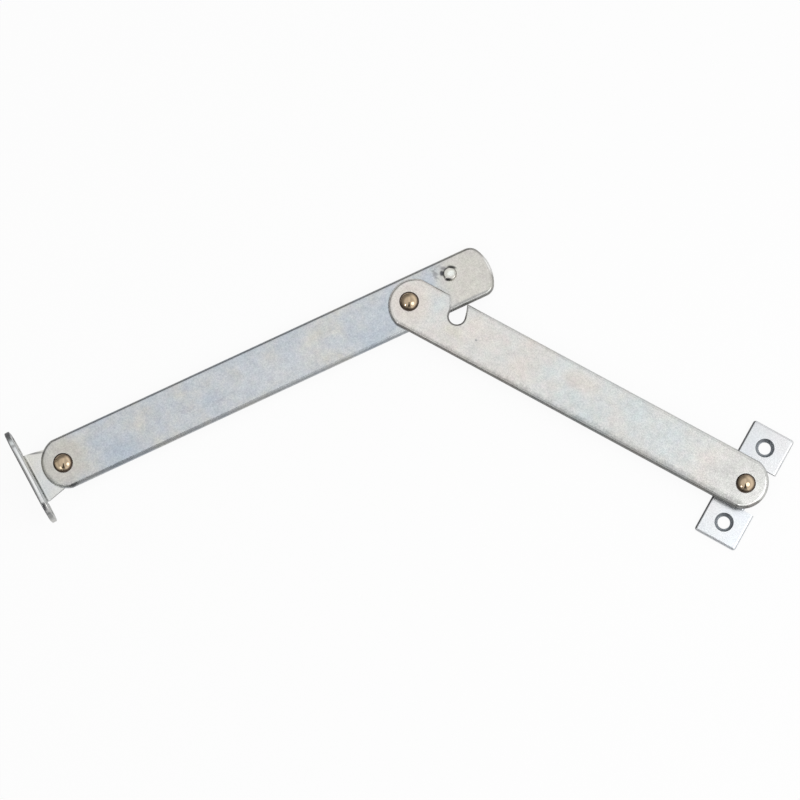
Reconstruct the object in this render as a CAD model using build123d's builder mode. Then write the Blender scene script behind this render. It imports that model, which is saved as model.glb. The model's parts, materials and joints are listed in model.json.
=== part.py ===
from build123d import *
from math import asin, degrees, sqrt
import os

# Folding lid stay for a box lid. Millimetres, +Z up.
# The origin is on the side rivet's axis, in the plane that the side plate is screwed against.
# The side plate's long axis lies along Y, and the side arm runs towards -X to the knee.

# Steel strip
strip_thickness = 1.6
strip_width = 16.3
face_edge_round = 1.2
back_edge_round = 0.25
pivot_spacing = 118.0
layer_gap = 0.05

# How far each arm runs past its rivets, and how much flatter than a half circle its ends are
side_end_reach = 7.0
side_knee_reach = 6.3
lid_end_reach = 6.8
lid_knee_reach = 27.8
end_flattening = 0.3
free_end_flattening = 5.0
end_corner_radius = 2.0
free_end_corner_radius = 3.8

# How the stay lies: the side arm's swing on its plate, the bend at the knee, the bracket's turn
side_arm_swing = 0.5
knee_bend = 54.0
bracket_turn = 3.5

# Rivets
shank_diameter = 3.5
shank_clearance = 0.05
head_diameter = 6.1
head_height = 1.9
head_rim = 0.3
tail_diameter = 5.5
tail_height = 0.8
tail_round = 0.5

# Stop stud, half sheared out of the lid arm, and the notch that it seats in
stop_radius = 15.5
stud_diameter = 4.4
stud_height = 1.1
stud_round = 0.75
dimple_diameter = 4.2
dimple_depth = 0.9
notch_clearance = 0.3
notch_bottom_angle = 11.3
notch_run_out = 4.0
notch_edge_break = 0.5
notch_break_angle = 45
stop_gap = 0.02

# Screw holes, the same in the side plate and the flange
screw_hole_diameter = 3.9
countersink_diameter = 5.9
countersink_angle = 90.0

# Side plate
plate_length = 39.0
plate_width = 14.0
plate_hole_spacing = 26.4
plate_corner_radius = 0.9
plate_edge_round = 0.7
plate_neck_width = 7.2
shoulder_reach = 7.1
shoulder_round = 0.8
raised_length = 7.6
joggle_run = 2.0
joggle_radius = 1.0

# Angle bracket
flange_length = 30.8
flange_height = 16.0
flange_corner_radius = 6.0
flange_hole_spacing = 22.0
flange_clearance = 1.65
flange_edge_round = 0.35
tab_root_width = 16.0
tab_end_radius = 6.0
bend_inner_radius = 0.8
relief_width = 0.9
relief_height = 0.5

# Layers, from the lid rivet's tail upwards
tab_bottom = tail_height
tab_top = tab_bottom + strip_thickness
lid_arm_bottom = tab_top + layer_gap
lid_arm_top = lid_arm_bottom + strip_thickness
side_arm_bottom = lid_arm_top + layer_gap
side_arm_top = side_arm_bottom + strip_thickness
raised_bottom = lid_arm_bottom

# Fits
fixed_radius = shank_diameter / 2
running_radius = fixed_radius + shank_clearance
notch_width = stud_diameter + 2 * notch_clearance
stud_angle = notch_bottom_angle - degrees(asin((notch_clearance - stop_gap) / stop_radius))

# The notch's centreline ends well outside the side arm's edge
notch_end_height = min(strip_width / 2 + notch_run_out, stop_radius)
notch_sweep = degrees(asin(notch_end_height / stop_radius)) - notch_bottom_angle

# Pivots, and a frame at each that lies along its piece
up = (0, 0, 1)
lid_arm_heading = side_arm_swing + knee_bend
bracket_heading = lid_arm_heading + 180 + bracket_turn
side_arm_direction = Vector(1, 0, 0).rotate(Axis.Z, side_arm_swing)
lid_arm_direction = Vector(1, 0, 0).rotate(Axis.Z, lid_arm_heading)
bracket_direction = Vector(1, 0, 0).rotate(Axis.Z, bracket_heading)
side_pivot = Vector(0, 0, 0)
knee_pivot = side_pivot - side_arm_direction * pivot_spacing
lid_pivot = knee_pivot - lid_arm_direction * pivot_spacing
side_arm_frame = Plane(knee_pivot, x_dir=side_arm_direction, z_dir=up)
lid_arm_frame = Plane(knee_pivot, x_dir=lid_arm_direction, z_dir=up)
bracket_frame = Plane(lid_pivot, x_dir=bracket_direction, z_dir=up)

os.makedirs("parts", exist_ok=True)


def strip_outline(start, finish, start_flattening, finish_flattening, finish_corner_radius):
    # A strip along X with an arc at each end, its corners eased
    half = strip_width / 2
    start_radius = half + start_flattening
    finish_radius = half + finish_flattening
    start_side = start + start_radius - sqrt(start_radius**2 - half**2)
    finish_side = finish - finish_radius + sqrt(finish_radius**2 - half**2)
    with BuildSketch() as outline:
        with BuildLine():
            Line((start_side, -half), (finish_side, -half))
            ThreePointArc((finish_side, -half), (finish, 0), (finish_side, half))
            Line((finish_side, half), (start_side, half))
            ThreePointArc((start_side, half), (start, 0), (start_side, -half))
        make_face()
        fillet(outline.vertices().group_by(Axis.X)[0], end_corner_radius)
        fillet(outline.vertices().group_by(Axis.X)[-1], finish_corner_radius)
    return outline.sketch


def round_strip_edges(strip):
    # The face's edges are drawn down by the shears, and the back's are only eased
    faces = strip.faces().filter_by(Axis.Z).sort_by(Axis.Z)
    fillet(faces[0].edges(), back_edge_round)
    faces = strip.faces().filter_by(Axis.Z).sort_by(Axis.Z)
    fillet(faces[-1].edges(), face_edge_round)


def domed_rivet(pivot, clamped_face, head_face):
    # A turned rivet: its tail is peened against clamped_face, and its head stands on head_face
    tail_radius = tail_diameter / 2
    tail_end = clamped_face - tail_height
    rim_top = head_face + head_rim
    with BuildPart() as rivet:
        with BuildSketch(Plane(pivot, x_dir=(1, 0, 0), z_dir=(0, -1, 0))):
            with BuildLine():
                Line((0, tail_end), (tail_radius - tail_round, tail_end))
                JernArc((tail_radius - tail_round, tail_end), (1, 0), tail_round, 90)
                Polyline(
                    (tail_radius, tail_end + tail_round),
                    (tail_radius, clamped_face),
                    (fixed_radius, clamped_face),
                    (fixed_radius, head_face),
                    (head_diameter / 2, head_face),
                    (head_diameter / 2, rim_top),
                )
                TangentArc((0, head_face + head_height), (head_diameter / 2, rim_top), tangent=(1, 0))
                Line((0, head_face + head_height), (0, tail_end))
            make_face()
        revolve(axis=Axis(pivot, up))
    return rivet.part


# Side arm: on top at both rivets, with the notch open through its upper edge
side_arm_outline = strip_outline(
    -side_knee_reach,
    pivot_spacing + side_end_reach,
    end_flattening,
    end_flattening,
    end_corner_radius,
)
notch_path = CenterArc((0, 0), stop_radius, notch_bottom_angle, notch_sweep)

with BuildPart() as side_arm:
    with BuildSketch(side_arm_frame.offset(side_arm_bottom)):
        add(side_arm_outline)
    extrude(amount=strip_thickness)
    round_strip_edges(side_arm)
    with BuildSketch(side_arm_frame.offset(side_arm_bottom)):
        with Locations((0, 0), (pivot_spacing, 0)):
            Circle(running_radius)
        SlotArc(notch_path, notch_width)
    extrude(amount=strip_thickness, mode=Mode.SUBTRACT)
    with BuildSketch(side_arm_frame.offset(side_arm_top)):
        SlotArc(notch_path, notch_width + 2 * notch_edge_break)
    extrude(amount=-notch_edge_break, taper=notch_break_angle, mode=Mode.SUBTRACT)
side_arm.part.label = "side_arm"

# Lid arm: under the side arm at the knee, and over the tab at the lid rivet
lid_arm_outline = strip_outline(
    -pivot_spacing - lid_end_reach,
    lid_knee_reach,
    end_flattening,
    free_end_flattening,
    free_end_corner_radius,
)

with BuildPart() as lid_arm:
    with BuildSketch(lid_arm_frame.offset(lid_arm_bottom)):
        add(lid_arm_outline)
    extrude(amount=strip_thickness)
    round_strip_edges(lid_arm)
    with BuildSketch(lid_arm_frame.offset(lid_arm_bottom)):
        Circle(fixed_radius)
        with Locations((-pivot_spacing, 0)):
            Circle(running_radius)
    extrude(amount=strip_thickness, mode=Mode.SUBTRACT)
    with BuildSketch(lid_arm_frame.offset(lid_arm_top)):
        with PolarLocations(stop_radius, 1, start_angle=stud_angle):
            Circle(stud_diameter / 2)
    extrude(amount=stud_height)
    fillet(lid_arm.faces().sort_by(Axis.Z)[-1].edges(), stud_round)
    with BuildSketch(lid_arm_frame.offset(lid_arm_bottom)):
        with PolarLocations(stop_radius, 1, start_angle=stud_angle):
            Circle(dimple_diameter / 2)
    extrude(amount=dimple_depth, mode=Mode.SUBTRACT)
lid_arm.part.label = "lid_arm"

# Side plate: two ears flat on the box side, and a narrower middle raised to the lid arm's layer
raised_end = raised_length / 2
shoulder_depth = (plate_width - plate_neck_width) / 2
ear_start = raised_end + joggle_run
joggle_outer_radius = joggle_radius + strip_thickness

with BuildPart() as side_plate:
    with BuildSketch(Plane.YZ):
        with BuildLine():
            FilletPolyline(
                (-plate_length / 2, 0),
                (-ear_start, 0),
                (-raised_end, raised_bottom),
                (raised_end, raised_bottom),
                (ear_start, 0),
                (plate_length / 2, 0),
                radius=[joggle_outer_radius, joggle_radius, joggle_radius, joggle_outer_radius],
            )
            offset(amount=strip_thickness, side=Side.LEFT)
        make_face()
    extrude(amount=plate_width / 2, both=True)
    with BuildSketch() as plate_outline:
        Rectangle(plate_width, plate_length)
        with GridLocations(plate_width - shoulder_depth, 0, 2, 1):
            Rectangle(shoulder_depth, 2 * shoulder_reach, mode=Mode.SUBTRACT)
        corners = plate_outline.vertices().group_by(lambda corner: abs(corner.Y))
        fillet(corners[-1], plate_corner_radius)
        fillet(corners[0], shoulder_round)
    extrude(amount=raised_bottom + strip_thickness, mode=Mode.INTERSECT)
    long_edges = side_plate.faces().filter_by(Axis.X).edges().filter_by(Axis.Z, reverse=True)
    fillet(long_edges, plate_edge_round)
    with BuildSketch(Plane.XY.offset(raised_bottom)):
        Circle(fixed_radius)
    extrude(amount=strip_thickness, mode=Mode.SUBTRACT)
    with Locations(Plane.XY.offset(strip_thickness)):
        with Locations((0, -plate_hole_spacing / 2), (0, plate_hole_spacing / 2)):
            CounterSinkHole(
                screw_hole_diameter / 2,
                countersink_diameter / 2,
                depth=strip_thickness,
                counter_sink_angle=countersink_angle,
            )
side_plate.part.label = "side_plate"

# Angle bracket: a tab that narrows round the lid rivet, folded up into a flange with rounded ears.
# The flange stands far enough out to swing past the lid arm's edge.
flange_inner_reach = strip_width / 2 + flange_clearance
bend_start = flange_inner_reach - bend_inner_radius
bend_top = tab_top + bend_inner_radius
bend_outer_radius = bend_inner_radius + strip_thickness
root_top = bend_top + relief_height
flange_outer_reach = flange_inner_reach + strip_thickness
flange_middle = tab_bottom + flange_height / 2
flange_foot = bracket_frame.from_local_coords((flange_inner_reach, 0, 0))
flange_back = bracket_frame.from_local_coords((flange_inner_reach, 0, flange_middle))
flange_plane = Plane(flange_foot, x_dir=bracket_frame.y_dir, z_dir=bracket_frame.x_dir)
screw_side = Plane(flange_back, x_dir=bracket_frame.y_dir, z_dir=-bracket_frame.x_dir)
fold_plane = Plane(lid_pivot, x_dir=bracket_frame.x_dir, z_dir=-bracket_frame.y_dir)

with BuildPart() as angle_bracket:
    with BuildSketch(flange_plane):
        with Locations((0, flange_middle)):
            RectangleRounded(flange_length, flange_height, flange_corner_radius)
    extrude(amount=strip_thickness)
    flange_faces = angle_bracket.faces().filter_by(Axis((0, 0, 0), bracket_frame.x_dir))
    fillet(flange_faces.edges(), flange_edge_round)
    with BuildSketch(flange_plane):
        with Locations((0, tab_bottom)):
            Rectangle(
                tab_root_width + 2 * relief_width, root_top - tab_bottom, align=(Align.CENTER, Align.MIN)
            )
    extrude(amount=strip_thickness, mode=Mode.SUBTRACT)
    with BuildSketch(fold_plane):
        with BuildLine():
            Line((bend_start, tab_bottom), (bend_start, tab_top))
            JernArc((bend_start, tab_top), (1, 0), bend_inner_radius, 90)
            Polyline(
                (flange_inner_reach, bend_top),
                (flange_inner_reach, root_top),
                (flange_outer_reach, root_top),
                (flange_outer_reach, bend_top),
            )
            JernArc((bend_start, tab_bottom), (1, 0), bend_outer_radius, 90)
        make_face()
    extrude(amount=tab_root_width / 2, both=True)
    with BuildSketch(bracket_frame.offset(tab_bottom)):
        Circle(tab_end_radius)
        with BuildLine():
            Line((bend_start, -tab_root_width / 2), (bend_start, tab_root_width / 2))
        make_hull()
        Circle(fixed_radius, mode=Mode.SUBTRACT)
    extrude(amount=strip_thickness)
    with Locations(screw_side):
        with Locations((-flange_hole_spacing / 2, 0), (flange_hole_spacing / 2, 0)):
            CounterSinkHole(
                screw_hole_diameter / 2,
                countersink_diameter / 2,
                depth=strip_thickness,
                counter_sink_angle=countersink_angle,
            )
angle_bracket.part.label = "angle_bracket"

# Rivets: each is tight in the lower piece and runs in the upper one
rivet_side = domed_rivet(side_pivot, raised_bottom, side_arm_top + layer_gap)
rivet_side.label = "rivet_side"
rivet_knee = domed_rivet(knee_pivot, lid_arm_bottom, side_arm_top + layer_gap)
rivet_knee.label = "rivet_knee"
rivet_lid = domed_rivet(lid_pivot, tab_bottom, lid_arm_top + layer_gap)
rivet_lid.label = "rivet_lid"

export_step(side_arm.part, "parts/side_arm.step")
export_step(lid_arm.part, "parts/lid_arm.step")
export_step(side_plate.part, "parts/side_plate.step")
export_step(angle_bracket.part, "parts/angle_bracket.step")
export_step(rivet_side, "parts/rivet_side.step")
export_step(rivet_knee, "parts/rivet_knee.step")
export_step(rivet_lid, "parts/rivet_lid.step")
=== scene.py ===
import json
from math import atan2, cos, pi, radians, sin

import bpy
from mathutils import Matrix, Vector


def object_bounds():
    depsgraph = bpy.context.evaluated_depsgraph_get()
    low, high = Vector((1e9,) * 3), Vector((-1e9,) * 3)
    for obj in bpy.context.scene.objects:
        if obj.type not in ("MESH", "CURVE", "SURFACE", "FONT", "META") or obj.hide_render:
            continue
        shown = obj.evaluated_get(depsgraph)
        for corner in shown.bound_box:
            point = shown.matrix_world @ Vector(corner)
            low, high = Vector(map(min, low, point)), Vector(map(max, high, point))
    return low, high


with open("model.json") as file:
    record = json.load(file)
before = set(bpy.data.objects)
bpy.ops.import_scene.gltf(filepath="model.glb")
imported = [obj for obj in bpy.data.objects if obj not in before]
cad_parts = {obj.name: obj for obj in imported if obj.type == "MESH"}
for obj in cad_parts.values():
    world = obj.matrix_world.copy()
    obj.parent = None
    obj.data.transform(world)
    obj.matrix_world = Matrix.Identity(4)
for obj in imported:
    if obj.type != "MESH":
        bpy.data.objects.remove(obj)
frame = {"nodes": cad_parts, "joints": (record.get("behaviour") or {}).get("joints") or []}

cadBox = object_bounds()
tableHeight = cadBox[0][2]
scene = bpy.context.scene
scene.view_settings.view_transform = "Standard"
print("frame loaded:", ", ".join(sorted(frame["nodes"])))


class Wire:
    # one socket of a node tree, which can stand in sums

    def __init__(self, tree, socket=None):
        self.tree = tree
        self.socket = socket

    def node(self, kind, settings=None, values=None, out=0):
        # makes any node: its settings first, then what goes into its sockets
        made = self.tree.nodes.new(kind)
        for name, value in (settings or {}).items():
            if name == "stops":
                stops = made.color_ramp.elements
                while len(stops) < len(value):
                    stops.new(1.0)
                for stop, (place, tone) in zip(stops, value):
                    stop.position = place
                    stop.color = colour(tone)
            else:
                setattr(made, name, value)
        for name, value in (values or {}).items():
            if isinstance(value, Wire):
                self.tree.links.new(value.socket, made.inputs[name])
            else:
                made.inputs[name].default_value = value
        return Wire(self.tree, made.outputs[out] if made.outputs else None)

    def sum(self, operation, *terms):
        return self.node("ShaderNodeMath", {"operation": operation}, dict(enumerate(terms)))

    def __add__(self, other):
        return self.sum("ADD", self, other)

    __radd__ = __add__

    def __sub__(self, other):
        return self.sum("SUBTRACT", self, other)

    def __rsub__(self, other):
        return self.sum("SUBTRACT", other, self)

    def __mul__(self, other):
        return self.sum("MULTIPLY", self, other)

    __rmul__ = __mul__

    def __truediv__(self, other):
        return self.sum("DIVIDE", self, other)

    def __rtruediv__(self, other):
        return self.sum("DIVIDE", other, self)

    def __abs__(self):
        return self.sum("ABSOLUTE", self)

    def above(self, other):
        return self.sum("MAXIMUM", self, other)

    def root(self):
        return self.sum("SQRT", self)

    def smooth(self, start, end, first=0.0, last=1.0):
        # a soft step from first to last, between start and end
        return self.node(
            "ShaderNodeMapRange",
            {"interpolation_type": "SMOOTHSTEP"},
            {"Value": self, "From Min": start, "From Max": end, "To Min": first, "To Max": last},
        )

    def mixed(self, other, share, blend="MIX"):
        # this colour turned towards other by a share
        return self.node(
            "ShaderNodeMix",
            {"data_type": "RGBA", "blend_type": blend},
            {0: share, 6: self, 7: other},
            out=2,
        )


def colour(tone):
    return (*tone, 1.0)


def newMaterial(name):
    material = bpy.data.materials.new(name)
    material.use_nodes = True
    material.node_tree.nodes.clear()
    return material, Wire(material.node_tree)


def finishMaterial(start, shader):
    start.node("ShaderNodeOutputMaterial", {}, {"Surface": shader})


# The view is turned from the part's own axes, and looks on it a little from its lower side
cameraLook = {
    "turn": -29.27,
    "tilt": 8.8,
    "lean": -0.74,
    "distance": 1.00602,
    "lens": 145.8,
    "sensor": 36.0,
    "aimRight": -0.00285,  # from the knee rivet
    "aimUp": -0.0303,
    "nearest": 0.01,
    "farthest": 50.0,
}

jointPlace = {joint["name"]: Vector(joint["pos_m"]) for joint in frame["joints"]}
upright = Vector((0, 0, 1))
turn = radians(cameraLook["turn"])
viewRight = Vector((cos(turn), -sin(turn), 0))
viewUp = Vector((sin(turn), cos(turn), 0))


def placeCamera():
    tilt = radians(cameraLook["tilt"])
    lean = radians(cameraLook["lean"])
    up = viewUp * cos(tilt) + upright * sin(tilt)
    outward = upright * cos(tilt) - viewUp * sin(tilt)
    right = viewRight * cos(lean) + outward * sin(lean)
    back = outward * cos(lean) - viewRight * sin(lean)
    aim = jointPlace["knee_pivot"] + right * cameraLook["aimRight"] + up * cameraLook["aimUp"]
    lensData = bpy.data.cameras.new("camera")
    lensData.lens = cameraLook["lens"]
    lensData.sensor_width = cameraLook["sensor"]
    lensData.clip_start = cameraLook["nearest"]
    lensData.clip_end = cameraLook["farthest"]
    camera = bpy.data.objects.new("camera", lensData)
    turned = Matrix((right, up, back)).transposed().to_4x4()
    camera.matrix_world = Matrix.Translation(aim + back * cameraLook["distance"]) @ turned
    scene.collection.objects.link(camera)
    scene.camera = camera
    return aim


aim = placeCamera()
tableCentre = Vector((aim.x, aim.y, tableHeight))
print("camera placed")

# A white table in a pale room, lit by a softbox close on the right and a small lamp on the left.
# Lamps are placed from the table's middle: to the right, up the view and above the table.
# Bearings are in degrees, round from the view's right. A span is where a soft change starts and
# ends: from -1 to 1 across the room, or from 0 to 1 up it.
studioLook = {
    "floorRadius": 6.0,
    "floorSteps": 96,
    "floorTone": (0.9, 0.9, 0.9),
    "floorWhite": 0.92,
    "floorMirror": 0.1,
    "roomRadius": 1.6,
    "roomEdge": 87.0,  # degrees from overhead
    "roomSteps": 64,
    "roomRows": 16,
    "ceilingLeft": 0.86,
    "ceilingMiddle": 1.04,
    "ceilingRight": 0.78,
    "ceilingLeftSpan": (-0.25, 0.0),
    "ceilingRightSpan": (0.06, 0.22),
    "ceilingInner": 34.0,  # degrees from overhead
    "ceilingOuter": 62.0,
    "wallDark": 0.32,
    "wallLight": 1.15,
    "wallSpan": (-0.35, 0.55),
    "wallFoot": 0.6,
    "wallFootTop": 0.45,
    "lightBearing": -10.0,
    "standBearing": 270.0,
    "standSpan": (0.02, 0.12),
    "standTop": 0.06,
    "standSpread": 0.42,
    "standSoftness": 0.05,
    "standFootSpan": (0.55, 0.70),
    "standShade": 0.08,
    "standFootShade": 0.45,
    "worldLevel": 1.0,
    "lamps": [
        {"name": "softbox", "place": (0.20, -0.075, 0.27), "size": 0.19, "level": 2.1},
        {"name": "side_lamp", "place": (-0.63, -0.53, 0.68), "size": 0.24, "level": 5.0},
    ],
}


def bearing(angle):
    return viewRight * cos(radians(angle)) + viewUp * sin(radians(angle))


def linkMesh(name, points, faces, material):
    mesh = bpy.data.meshes.new(name)
    mesh.from_pydata(points, [], faces)
    mesh.materials.append(material)
    piece = bpy.data.objects.new(name, mesh)
    scene.collection.objects.link(piece)
    return piece


def floorMaterial():
    # the table keeps its shadows, and is shown nearly plain white
    material, start = newMaterial("white_table")
    shadowed = start.node("ShaderNodeBsdfDiffuse", {}, {"Color": colour(studioLook["floorTone"])})
    plain = start.node("ShaderNodeEmission", {}, {"Color": colour((1, 1, 1)), "Strength": 1.0})
    cameraRay, glossyRay, clearRay = (
        start.node("ShaderNodeLightPath", {}, {}, out=name)
        for name in ("Is Camera Ray", "Is Glossy Ray", "Is Transmission Ray")
    )
    seen = cameraRay.above(clearRay) * studioLook["floorWhite"]
    share = seen.above(glossyRay * studioLook["floorMirror"])
    finishMaterial(start, start.node("ShaderNodeMixShader", {}, {0: share, 1: shadowed, 2: plain}))
    return material


def roomMaterial():
    # a bright ceiling, walls that are lighter on the right, and a darker foot
    material, start = newMaterial("room")
    place = start.node("ShaderNodeTexCoord", {}, {}, out="Object")
    towards = start.node("ShaderNodeVectorMath", {"operation": "NORMALIZE"}, {0: place})

    def along(direction):
        settings = {"operation": "DOT_PRODUCT"}
        return start.node("ShaderNodeVectorMath", settings, {0: towards, 1: direction}, out="Value")

    rise = along(upright)
    level = (1.0 - rise * rise).above(0.001).root()  # never quite nought
    side = along(bearing(studioLook["lightBearing"])) / level
    wall = side.smooth(*studioLook["wallSpan"], studioLook["wallDark"], studioLook["wallLight"])
    wall = wall * rise.smooth(0.0, studioLook["wallFootTop"], studioLook["wallFoot"], 1.0)
    outer, inner = (cos(radians(studioLook[name])) for name in ("ceilingOuter", "ceilingInner"))
    overhead = rise.smooth(outer, inner)
    # the camera's stand is a dark wedge on the near side, which widens and pales downwards
    stand = bearing(studioLook["standBearing"])
    halfWidth = (1.0 - rise) * studioLook["standSpread"] + studioLook["standTop"]
    outside = abs(along(stand.cross(upright))) - halfWidth
    wedge = along(stand).smooth(*studioLook["standSpan"])
    wedge = wedge * outside.smooth(0.0, studioLook["standSoftness"], 1.0, 0.0)
    standShades = studioLook["standFootShade"], studioLook["standShade"]
    standShade = rise.smooth(*studioLook["standFootSpan"], *standShades)
    rightward = along(viewRight)
    middle = studioLook["ceilingMiddle"]
    fall = middle - studioLook["ceilingRight"]
    ceiling = rightward.smooth(*studioLook["ceilingLeftSpan"], studioLook["ceilingLeft"], middle)
    ceiling = ceiling - rightward.smooth(*studioLook["ceilingRightSpan"], 0.0, fall)
    strength = (wall + (ceiling - wall) * overhead) * (1.0 - wedge * (1.0 - standShade))
    glow = start.node("ShaderNodeEmission", {}, {"Color": colour((1, 1, 1)), "Strength": strength})
    finishMaterial(start, glow)
    return material


def makeRoom():
    # a dome over the table, which the camera doesn't see
    steps = studioLook["roomSteps"]
    rows = studioLook["roomRows"]
    radius = studioLook["roomRadius"]
    points = [(0, 0, radius)]
    for row in range(1, rows + 1):
        slope = radians(studioLook["roomEdge"] * row / rows)
        reach = radius * sin(slope)
        for step in range(steps):
            around = 2 * pi * step / steps
            points.append((reach * cos(around), reach * sin(around), radius * cos(slope)))
    faces = [(0, 1 + step, 1 + (step + 1) % steps) for step in range(steps)]
    for row in range(rows - 1):
        inner = 1 + row * steps
        outer = inner + steps
        for step in range(steps):
            following = (step + 1) % steps
            faces.append((inner + step, outer + step, outer + following, inner + following))
    room = linkMesh("room_dome", points, faces, roomMaterial())
    room.location = tableCentre
    room.visible_camera = False


def makeFloor():
    radius = studioLook["floorRadius"]
    steps = studioLook["floorSteps"]
    turns = [2 * pi * step / steps for step in range(steps)]
    points = [(radius * cos(around), radius * sin(around), 0) for around in turns]
    floor = linkMesh("floor", points, [tuple(range(steps))], floorMaterial())
    floor.location = tableCentre


def makeLamps():
    for look in studioLook["lamps"]:
        data = bpy.data.lights.new(look["name"], "AREA")
        data.shape = "DISK"
        data.size = look["size"]
        data.energy = look["level"] * (pi * look["size"] / 2) ** 2
        lamp = bpy.data.objects.new(look["name"], data)
        toRight, towardsTop, above = look["place"]
        away = viewRight * toRight + viewUp * towardsTop + upright * above
        lamp.location = tableCentre + away
        lamp.rotation_euler = away.to_track_quat("Z", "Y").to_euler()
        scene.collection.objects.link(lamp)


def makeWorld():
    world = bpy.data.worlds.new("sky")
    world.use_nodes = True
    world.node_tree.nodes.clear()
    start = Wire(world.node_tree)
    values = {"Color": colour((1, 1, 1)), "Strength": studioLook["worldLevel"]}
    sky = start.node("ShaderNodeBackground", {}, values)
    start.node("ShaderNodeOutputWorld", {}, {"Surface": sky})
    scene.world = world


makeFloor()
makeRoom()
makeLamps()
makeWorld()
print("studio ready")

# Zinc plated steel: bright flat faces, clouded in blue and straw, with darker edges, partly bare sheared
# steel and partly painted shade of the dark reflections on their roundings.
# Noise scales are per millimetre. Edge, roll and top values are of how far a face looks up: 1 on
# the flats, 0 on the walls.
millimetre = 0.001
zincLook = {
    "cloudScale": 0.08,
    "patchScale": 0.22,
    "mottleScale": 0.6,
    "grainScale": 1.9,
    "fineScale": 4.5,
    "hueScale": 0.4,
    "hueStretch": (1.0, 1.0, 3.0),
    "noiseRoughness": 0.55,
    "grainTint": 0.2,
    "rollStartWidth": 0.08,
    "rollEndWidth": 0.2,
    "topSpan": (0.03, 0.2),
    "patchGloss": 0.08,
    "grainGloss": 0.06,
    "grainHeight": 0.003,
    "fineHeight": 0.0014,
}


def stripHeading(start, finish):
    way = jointPlace[finish] - jointPlace[start]
    return atan2(way.y, way.x)


def mark(place, size, tone, depth, angle=0.0, core=0.2, ragged=0.0, topOnly=False):
    # a soft oval: place and half size along and across the piece in millimetres, angle in degrees
    return {
        "place": place,
        "size": size,
        "tone": tone,
        "depth": depth,
        "angle": angle,
        "core": core,
        "ragged": ragged,
        "topOnly": topOnly,
    }


def band(start, end, depth, middle=0.0, slope=0.0, ragged=0.0):
    # a band of painted shade along one edge, which may widen along the piece
    return {
        "start": start,
        "end": end,
        "depth": depth,
        "middle": middle,
        "slope": slope,
        "ragged": ragged,
    }


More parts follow.
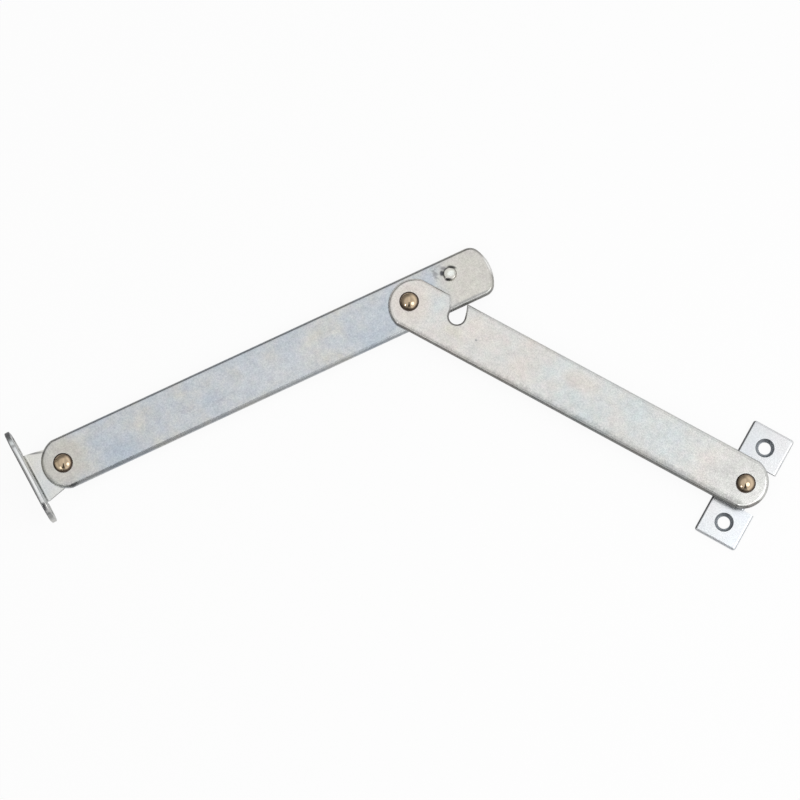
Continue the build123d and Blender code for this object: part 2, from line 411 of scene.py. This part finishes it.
def zincMaterial(name, look):
    material, start = newMaterial(name)
    place = start.node("ShaderNodeTexCoord", {}, {}, out="Object")
    normal = start.node("ShaderNodeTexCoord", {}, {}, out="Normal")
    origin = jointPlace[look["pivot"]]
    # millimetres along and across the piece, from its pivot
    local = start.node(
        "ShaderNodeMapping",
        {"vector_type": "TEXTURE"},
        {
            "Vector": place,
            "Location": (origin.x, origin.y, 0),
            "Rotation": (0, 0, look["heading"]),
            "Scale": (millimetre, millimetre, millimetre),
        },
    )
    along = start.node("ShaderNodeSeparateXYZ", {}, {"Vector": local}, out="X")
    across = start.node("ShaderNodeSeparateXYZ", {}, {"Vector": local}, out="Y")
    rise = start.node("ShaderNodeSeparateXYZ", {}, {"Vector": normal}, out="Z")

    def noise(scale, detail=3.0, stretch=None):
        where = local
        if stretch:
            where = start.node("ShaderNodeVectorMath", {"operation": "MULTIPLY"}, {0: local, 1: stretch})
        values = {
            "Vector": where,
            "Scale": zincLook[scale],
            "Detail": detail,
            "Roughness": zincLook["noiseRoughness"],
        }
        return start.node("ShaderNodeTexNoise", {}, values) - 0.5

    def strength(spot):
        # how much of a mark shows: its depth in the middle, nothing outside it
        angle = radians(spot["angle"])
        fromMiddle = along - spot["place"][0]
        aside = across - spot["place"][1]
        right = (fromMiddle * cos(angle) + aside * sin(angle)) / spot["size"][0]
        up = (aside * cos(angle) - fromMiddle * sin(angle)) / spot["size"][1]
        reach = (right * right + up * up).root() + grain * spot["ragged"]
        share = reach.smooth(spot["core"], 1.0, spot["depth"], 0.0)
        if spot["topOnly"]:
            share = share * rise.smooth(*zincLook["topSpan"])
        return share

    cloud = noise("cloudScale")
    patch = noise("patchScale", 2.0)
    mottle = noise("mottleScale", 2.0)
    grain = noise("grainScale")
    fine = noise("fineScale", 2.0)
    hue = noise("hueScale", 4.0, zincLook["hueStretch"])
    clouding = cloud + grain * zincLook["grainTint"] + 0.5
    tint = start.node("ShaderNodeValToRGB", {"stops": look["tints"]}, {"Fac": clouding})
    shade = 1.0 + patch * look["patchDepth"] + mottle * look["mottleDepth"]
    shade = shade + grain * look["grainDepth"] + fine * look["fineDepth"]
    # faces turning away from overhead are darkened: partly bare sheared steel, partly painted shade of
    # dark reflections
    shade = shade * rise.smooth(look["edgeEnd"], look["edgeStart"], 1.0 - look["edgeDark"], 1.0)
    if "rollDark" in look:
        # painted shade on bends and rounded edges, between the flats and the walls, where they reflect
        # the dark room
        rollStart = look["rollStart"]
        rollEnd = look["rollEnd"]
        roll = rise.smooth(rollEnd - zincLook["rollEndWidth"], rollEnd)
        roll = roll * rise.smooth(rollStart - zincLook["rollStartWidth"], rollStart, 1.0, 0.0)
        shade = shade * (1.0 - roll * look["rollDark"])
    # bands of painted shade along edges
    for edge in look.get("bands", []):
        inwards = across - (along - edge["middle"]) * edge["slope"] + (grain + mottle) * edge["ragged"]
        shade = shade * inwards.smooth(edge["start"], edge["end"], 1.0, 1.0 - edge["depth"])
    for spot in look["marks"]:
        tint = tint.mixed(colour(spot["tone"]), strength(spot))
    green = shade * (1.0 + hue * look["hueDepth"])
    grey = start.node("ShaderNodeCombineColor", {}, {0: shade, 1: green, 2: shade})
    plating = tint.mixed(grey, 1.0, "MULTIPLY")
    for spot in look.get("rims", []):
        # painted highlights and shade, which lie over the clouding
        plating = plating.mixed(colour(spot["tone"]), strength(spot))
    gloss = look["roughness"] + patch * zincLook["patchGloss"] + grain * zincLook["grainGloss"]
    height = grain * zincLook["grainHeight"] + fine * zincLook["fineHeight"]
    bump = start.node("ShaderNodeBump", {}, {"Strength": 1.0, "Distance": millimetre, "Height": height})
    steel = start.node(
        "ShaderNodeBsdfPrincipled",
        {},
        {
            "Base Color": plating,
            "Metallic": 1.0,
            "Roughness": gloss,
            "Specular Tint": colour(look["grazing"]),
            "Normal": bump,
        },
    )
    finishMaterial(start, steel)
    return material


def dress(node, material):
    piece = frame["nodes"][node]
    piece.data.materials.clear()
    piece.data.materials.append(material)


lidArmLook = {
    "pivot": "knee_pivot",
    "heading": stripHeading("lid_pivot", "knee_pivot"),
    "tints": [(0.30, (0.51, 0.57, 0.64)), (0.5, (0.58, 0.61, 0.64)), (0.70, (0.65, 0.64, 0.60))],
    "patchDepth": 0.20,
    "mottleDepth": 0.26,
    "grainDepth": 0.6,
    "fineDepth": 0.1,
    "hueDepth": 0.1,
    "edgeStart": 0.985,
    "edgeEnd": 0.80,
    "edgeDark": 0.1,
    "rollStart": 0.96,
    "rollEnd": 0.6,
    "rollDark": 0.35,
    "grazing": (0.8, 0.8, 0.8),
    "roughness": 0.25,
    "marks": [
        # straw tints round the free end and the lid rivet, and a bluer one between
        mark((21.0, -0.5), (13.0, 15.0), (0.67, 0.65, 0.60), 0.9, core=0.5),
        mark((-119.0, 1.0), (12.0, 10.0), (0.61, 0.59, 0.54), 0.8, core=0.4),
        mark((-45.0, -2.0), (22.0, 6.0), (0.62, 0.65, 0.69), 0.5, core=0.1),
        # rubbed patches beside the stud
        mark((11.0, 4.8), (1.1, 2.6), (0.26, 0.26, 0.27), 0.6, ragged=1.2),
        mark((12.6, 6.5), (1.6, 0.6), (0.32, 0.32, 0.32), 0.5, ragged=1.0),
        # painted shade round the stud's root on its upper, left and lower sides, and a painted highlight
        # on its top
        mark((14.3, 5.1), (1.7, 0.9), (0.22, 0.22, 0.23), 0.8, angle=-30.0),
        mark((16.65, 4.45), (1.9, 0.75), (0.05, 0.05, 0.05), 0.95, angle=-33.0, core=0.4),
        mark((13.1, 4.0), (1.2, 0.9), (0.07, 0.07, 0.08), 0.95, angle=65.0, core=0.4),
        mark((13.9, 1.35), (1.4, 0.6), (0.06, 0.06, 0.07), 0.95, angle=-25.0),
        mark((15.5, 2.6), (1.5, 1.2), (0.90, 0.92, 0.89), 0.9, core=0.4),
        # painted shade along the free end's lower edge, which dims the softbox's reflection there
        mark((17.5, -7.5), (13.0, 1.2), (0.42, 0.42, 0.41), 0.9, core=0.5),
        # faint scuffs along the arm, and a knock at its lid end
        mark((-67.0, -2.9), (3.2, 1.1), (0.44, 0.45, 0.49), 0.5, angle=10.0, ragged=1.5),
        mark((-77.0, -1.5), (3.6, 1.0), (0.46, 0.47, 0.50), 0.4, angle=-20.0, ragged=1.5),
        mark((-117.8, -7.6), (1.8, 0.8), (0.12, 0.13, 0.14), 0.8, ragged=0.8),
    ],
    "rims": [
        # a painted highlight along the free end's rim
        mark((28.2, 1.0), (1.9, 7.0), (0.90, 0.90, 0.88), 0.8, core=0.5),
    ],
}
dress("lid_arm", zincMaterial("lid_arm_zinc", lidArmLook))

sideArmLook = {
    "pivot": "knee_pivot",
    "heading": stripHeading("knee_pivot", "side_pivot"),
    "tints": [(0.30, (0.67, 0.72, 0.73)), (0.5, (0.72, 0.72, 0.70)), (0.70, (0.75, 0.71, 0.67))],
    "patchDepth": 0.22,
    "mottleDepth": 0.25,
    "grainDepth": 0.6,
    "fineDepth": 0.1,
    "hueDepth": 0.1,
    "edgeStart": 0.985,
    "edgeEnd": 0.80,
    "edgeDark": 0.1,
    "grazing": (0.8, 0.8, 0.8),
    "roughness": 0.25,
    "bands": [
        # painted shade along the lower edge, with a darker painted line at its very rim
        band(-5.6, -7.3, 0.3, middle=55.0, slope=0.01, ragged=1.4),
        band(-7.65, -7.95, 0.45),
    ],
    "marks": [
        # warm tints round the knee and along the arm, and a small pit
        mark((0.0, 0.0), (9.5, 9.5), (0.75, 0.69, 0.64), 0.8, core=0.4),
        mark((16.0, -1.5), (5.0, 3.0), (0.72, 0.69, 0.60), 0.6),
        mark((59.0, 3.5), (9.0, 4.0), (0.76, 0.70, 0.65), 0.6),
        mark((24.0, -0.7), (0.55, 0.5), (0.30, 0.32, 0.32), 0.8),
        # darker round the side rivet, and painted shade along the round end there, which dims the
        # softbox's reflection
        mark((118.0, 0.0), (16.0, 12.0), (0.66, 0.66, 0.64), 0.9, core=0.5),
        mark((123.8, -4.8), (5.5, 1.7), (0.30, 0.29, 0.28), 0.95, angle=50.0, core=0.6, ragged=0.5),
    ],
    "rims": [
        # painted shade on the notch's cut edge, round its bottom
        mark((15.2, 3.0), (3.3, 3.3), (0.26, 0.25, 0.25), 0.75, core=0.86),
    ],
}
dress("side_arm", zincMaterial("side_arm_zinc", sideArmLook))

screwPlace = 13.2  # each screw hole from the side rivet, in millimetres


def countersink(place):
    # painted shade on one side of the countersink, and a lighter painted reflection on the other
    return [
        mark((place, 0.0), (3.05, 3.05), (0.30, 0.32, 0.34), 1.0, core=0.93),
        mark((place - 0.42, 0.25), (2.55, 2.55), (0.58, 0.61, 0.64), 1.0, core=0.8),
    ]


sidePlateLook = {
    "pivot": "side_pivot",
    "heading": radians(90),
    "tints": [(0.30, (0.68, 0.71, 0.75)), (0.5, (0.70, 0.72, 0.74)), (0.70, (0.72, 0.72, 0.73))],
    "patchDepth": 0.08,
    "mottleDepth": 0.1,
    "grainDepth": 0.2,
    "fineDepth": 0.08,
    "hueDepth": 0.06,
    "edgeStart": 0.65,
    "edgeEnd": 0.3,
    "edgeDark": 0.2,
    "grazing": (0.7, 0.7, 0.7),
    "roughness": 0.30,
    # painted shade: a dark line along one long edge of the ears
    "bands": [band(6.25, 6.65, 0.75)],
    "marks": countersink(-screwPlace) + countersink(screwPlace),
}
dress("side_plate", zincMaterial("side_plate_zinc", sidePlateLook))

bracketTurn = 3.5  # degrees between the lid arm's line and the tab's
bracketLook = {
    "pivot": "lid_pivot",
    "heading": stripHeading("knee_pivot", "lid_pivot") + radians(bracketTurn),
    "tints": [(0.30, (0.72, 0.76, 0.78)), (0.5, (0.76, 0.77, 0.76)), (0.70, (0.80, 0.78, 0.73))],
    "patchDepth": 0.10,
    "mottleDepth": 0.12,
    "grainDepth": 0.3,
    "fineDepth": 0.08,
    "hueDepth": 0.08,
    "edgeStart": 0.985,
    "edgeEnd": 0.60,
    "edgeDark": 0.0,
    "rollStart": 0.93,
    "rollEnd": 0.45,
    "rollDark": 0.35,
    "grazing": (0.8, 0.8, 0.8),
    "roughness": 0.20,
    "marks": [
        # painted shade as a dark line along the tab's sheared edge
        mark((6.2, -7.1), (4.2, 0.5), (0.24, 0.24, 0.24), 0.85, angle=-20.7, topOnly=True),
        # the flange's edge: a painted highlight along the middle, painted shade along the outside
        mark((10.3, 0.0), (0.6, 11.0), (0.93, 0.94, 0.94), 0.9, core=0.5, topOnly=True),
        mark((11.35, 0.0), (0.85, 15.0), (0.24, 0.24, 0.24), 0.9, core=0.6, topOnly=True),
        # painted shade on its ends, and dark breaks of painted shade beside them
        mark((10.6, -15.2), (2.4, 2.8), (0.17, 0.17, 0.18), 0.95, core=0.6),
        mark((10.6, -9.6), (1.4, 0.8), (0.32, 0.32, 0.32), 0.8, topOnly=True),
        mark((10.9, 11.4), (0.8, 2.0), (0.12, 0.12, 0.13), 0.9, topOnly=True),
        mark((10.6, 14.6), (2.2, 2.0), (0.46, 0.47, 0.47), 0.6, core=0.4, topOnly=True),
    ],
}
dress("angle_bracket", zincMaterial("bracket_zinc", bracketLook))
print("steel plated")

# Rivets: bronzed domes, with painted shade round the rim where the dome falls steeply
rivetLook = {
    "tone": (0.57, 0.445, 0.31),
    "rimTone": (0.09, 0.065, 0.05),
    "rimStart": 0.83,
    "rimEnd": 0.68,
    "rimGrain": 0.1,
    "grainScale": 1200.0,
    "roughness": 0.10,
    "grainGloss": 0.06,
}


def brassMaterial():
    material, start = newMaterial("rivet_brass")
    place = start.node("ShaderNodeTexCoord", {}, {}, out="Object")
    normal = start.node("ShaderNodeTexCoord", {}, {}, out="Normal")
    rise = start.node("ShaderNodeSeparateXYZ", {}, {"Vector": normal}, out="Z")
    values = {"Vector": place, "Scale": rivetLook["grainScale"], "Detail": 3.0}
    grain = start.node("ShaderNodeTexNoise", {}, values) - 0.5
    # painted shade: the dome darkens towards its steep rim
    dome = (rise + grain * rivetLook["rimGrain"]).smooth(rivetLook["rimEnd"], rivetLook["rimStart"])
    stops = [(0.0, rivetLook["rimTone"]), (1.0, rivetLook["tone"])]
    brass = start.node(
        "ShaderNodeBsdfPrincipled",
        {},
        {
            "Base Color": start.node("ShaderNodeValToRGB", {"stops": stops}, {"Fac": dome}),
            "Metallic": 1.0,
            "Roughness": rivetLook["roughness"] + grain * rivetLook["grainGloss"],
        },
    )
    finishMaterial(start, brass)
    return material


brass = brassMaterial()
for node in ("rivet_side", "rivet_knee", "rivet_lid"):
    dress(node, brass)
print("rivets polished")
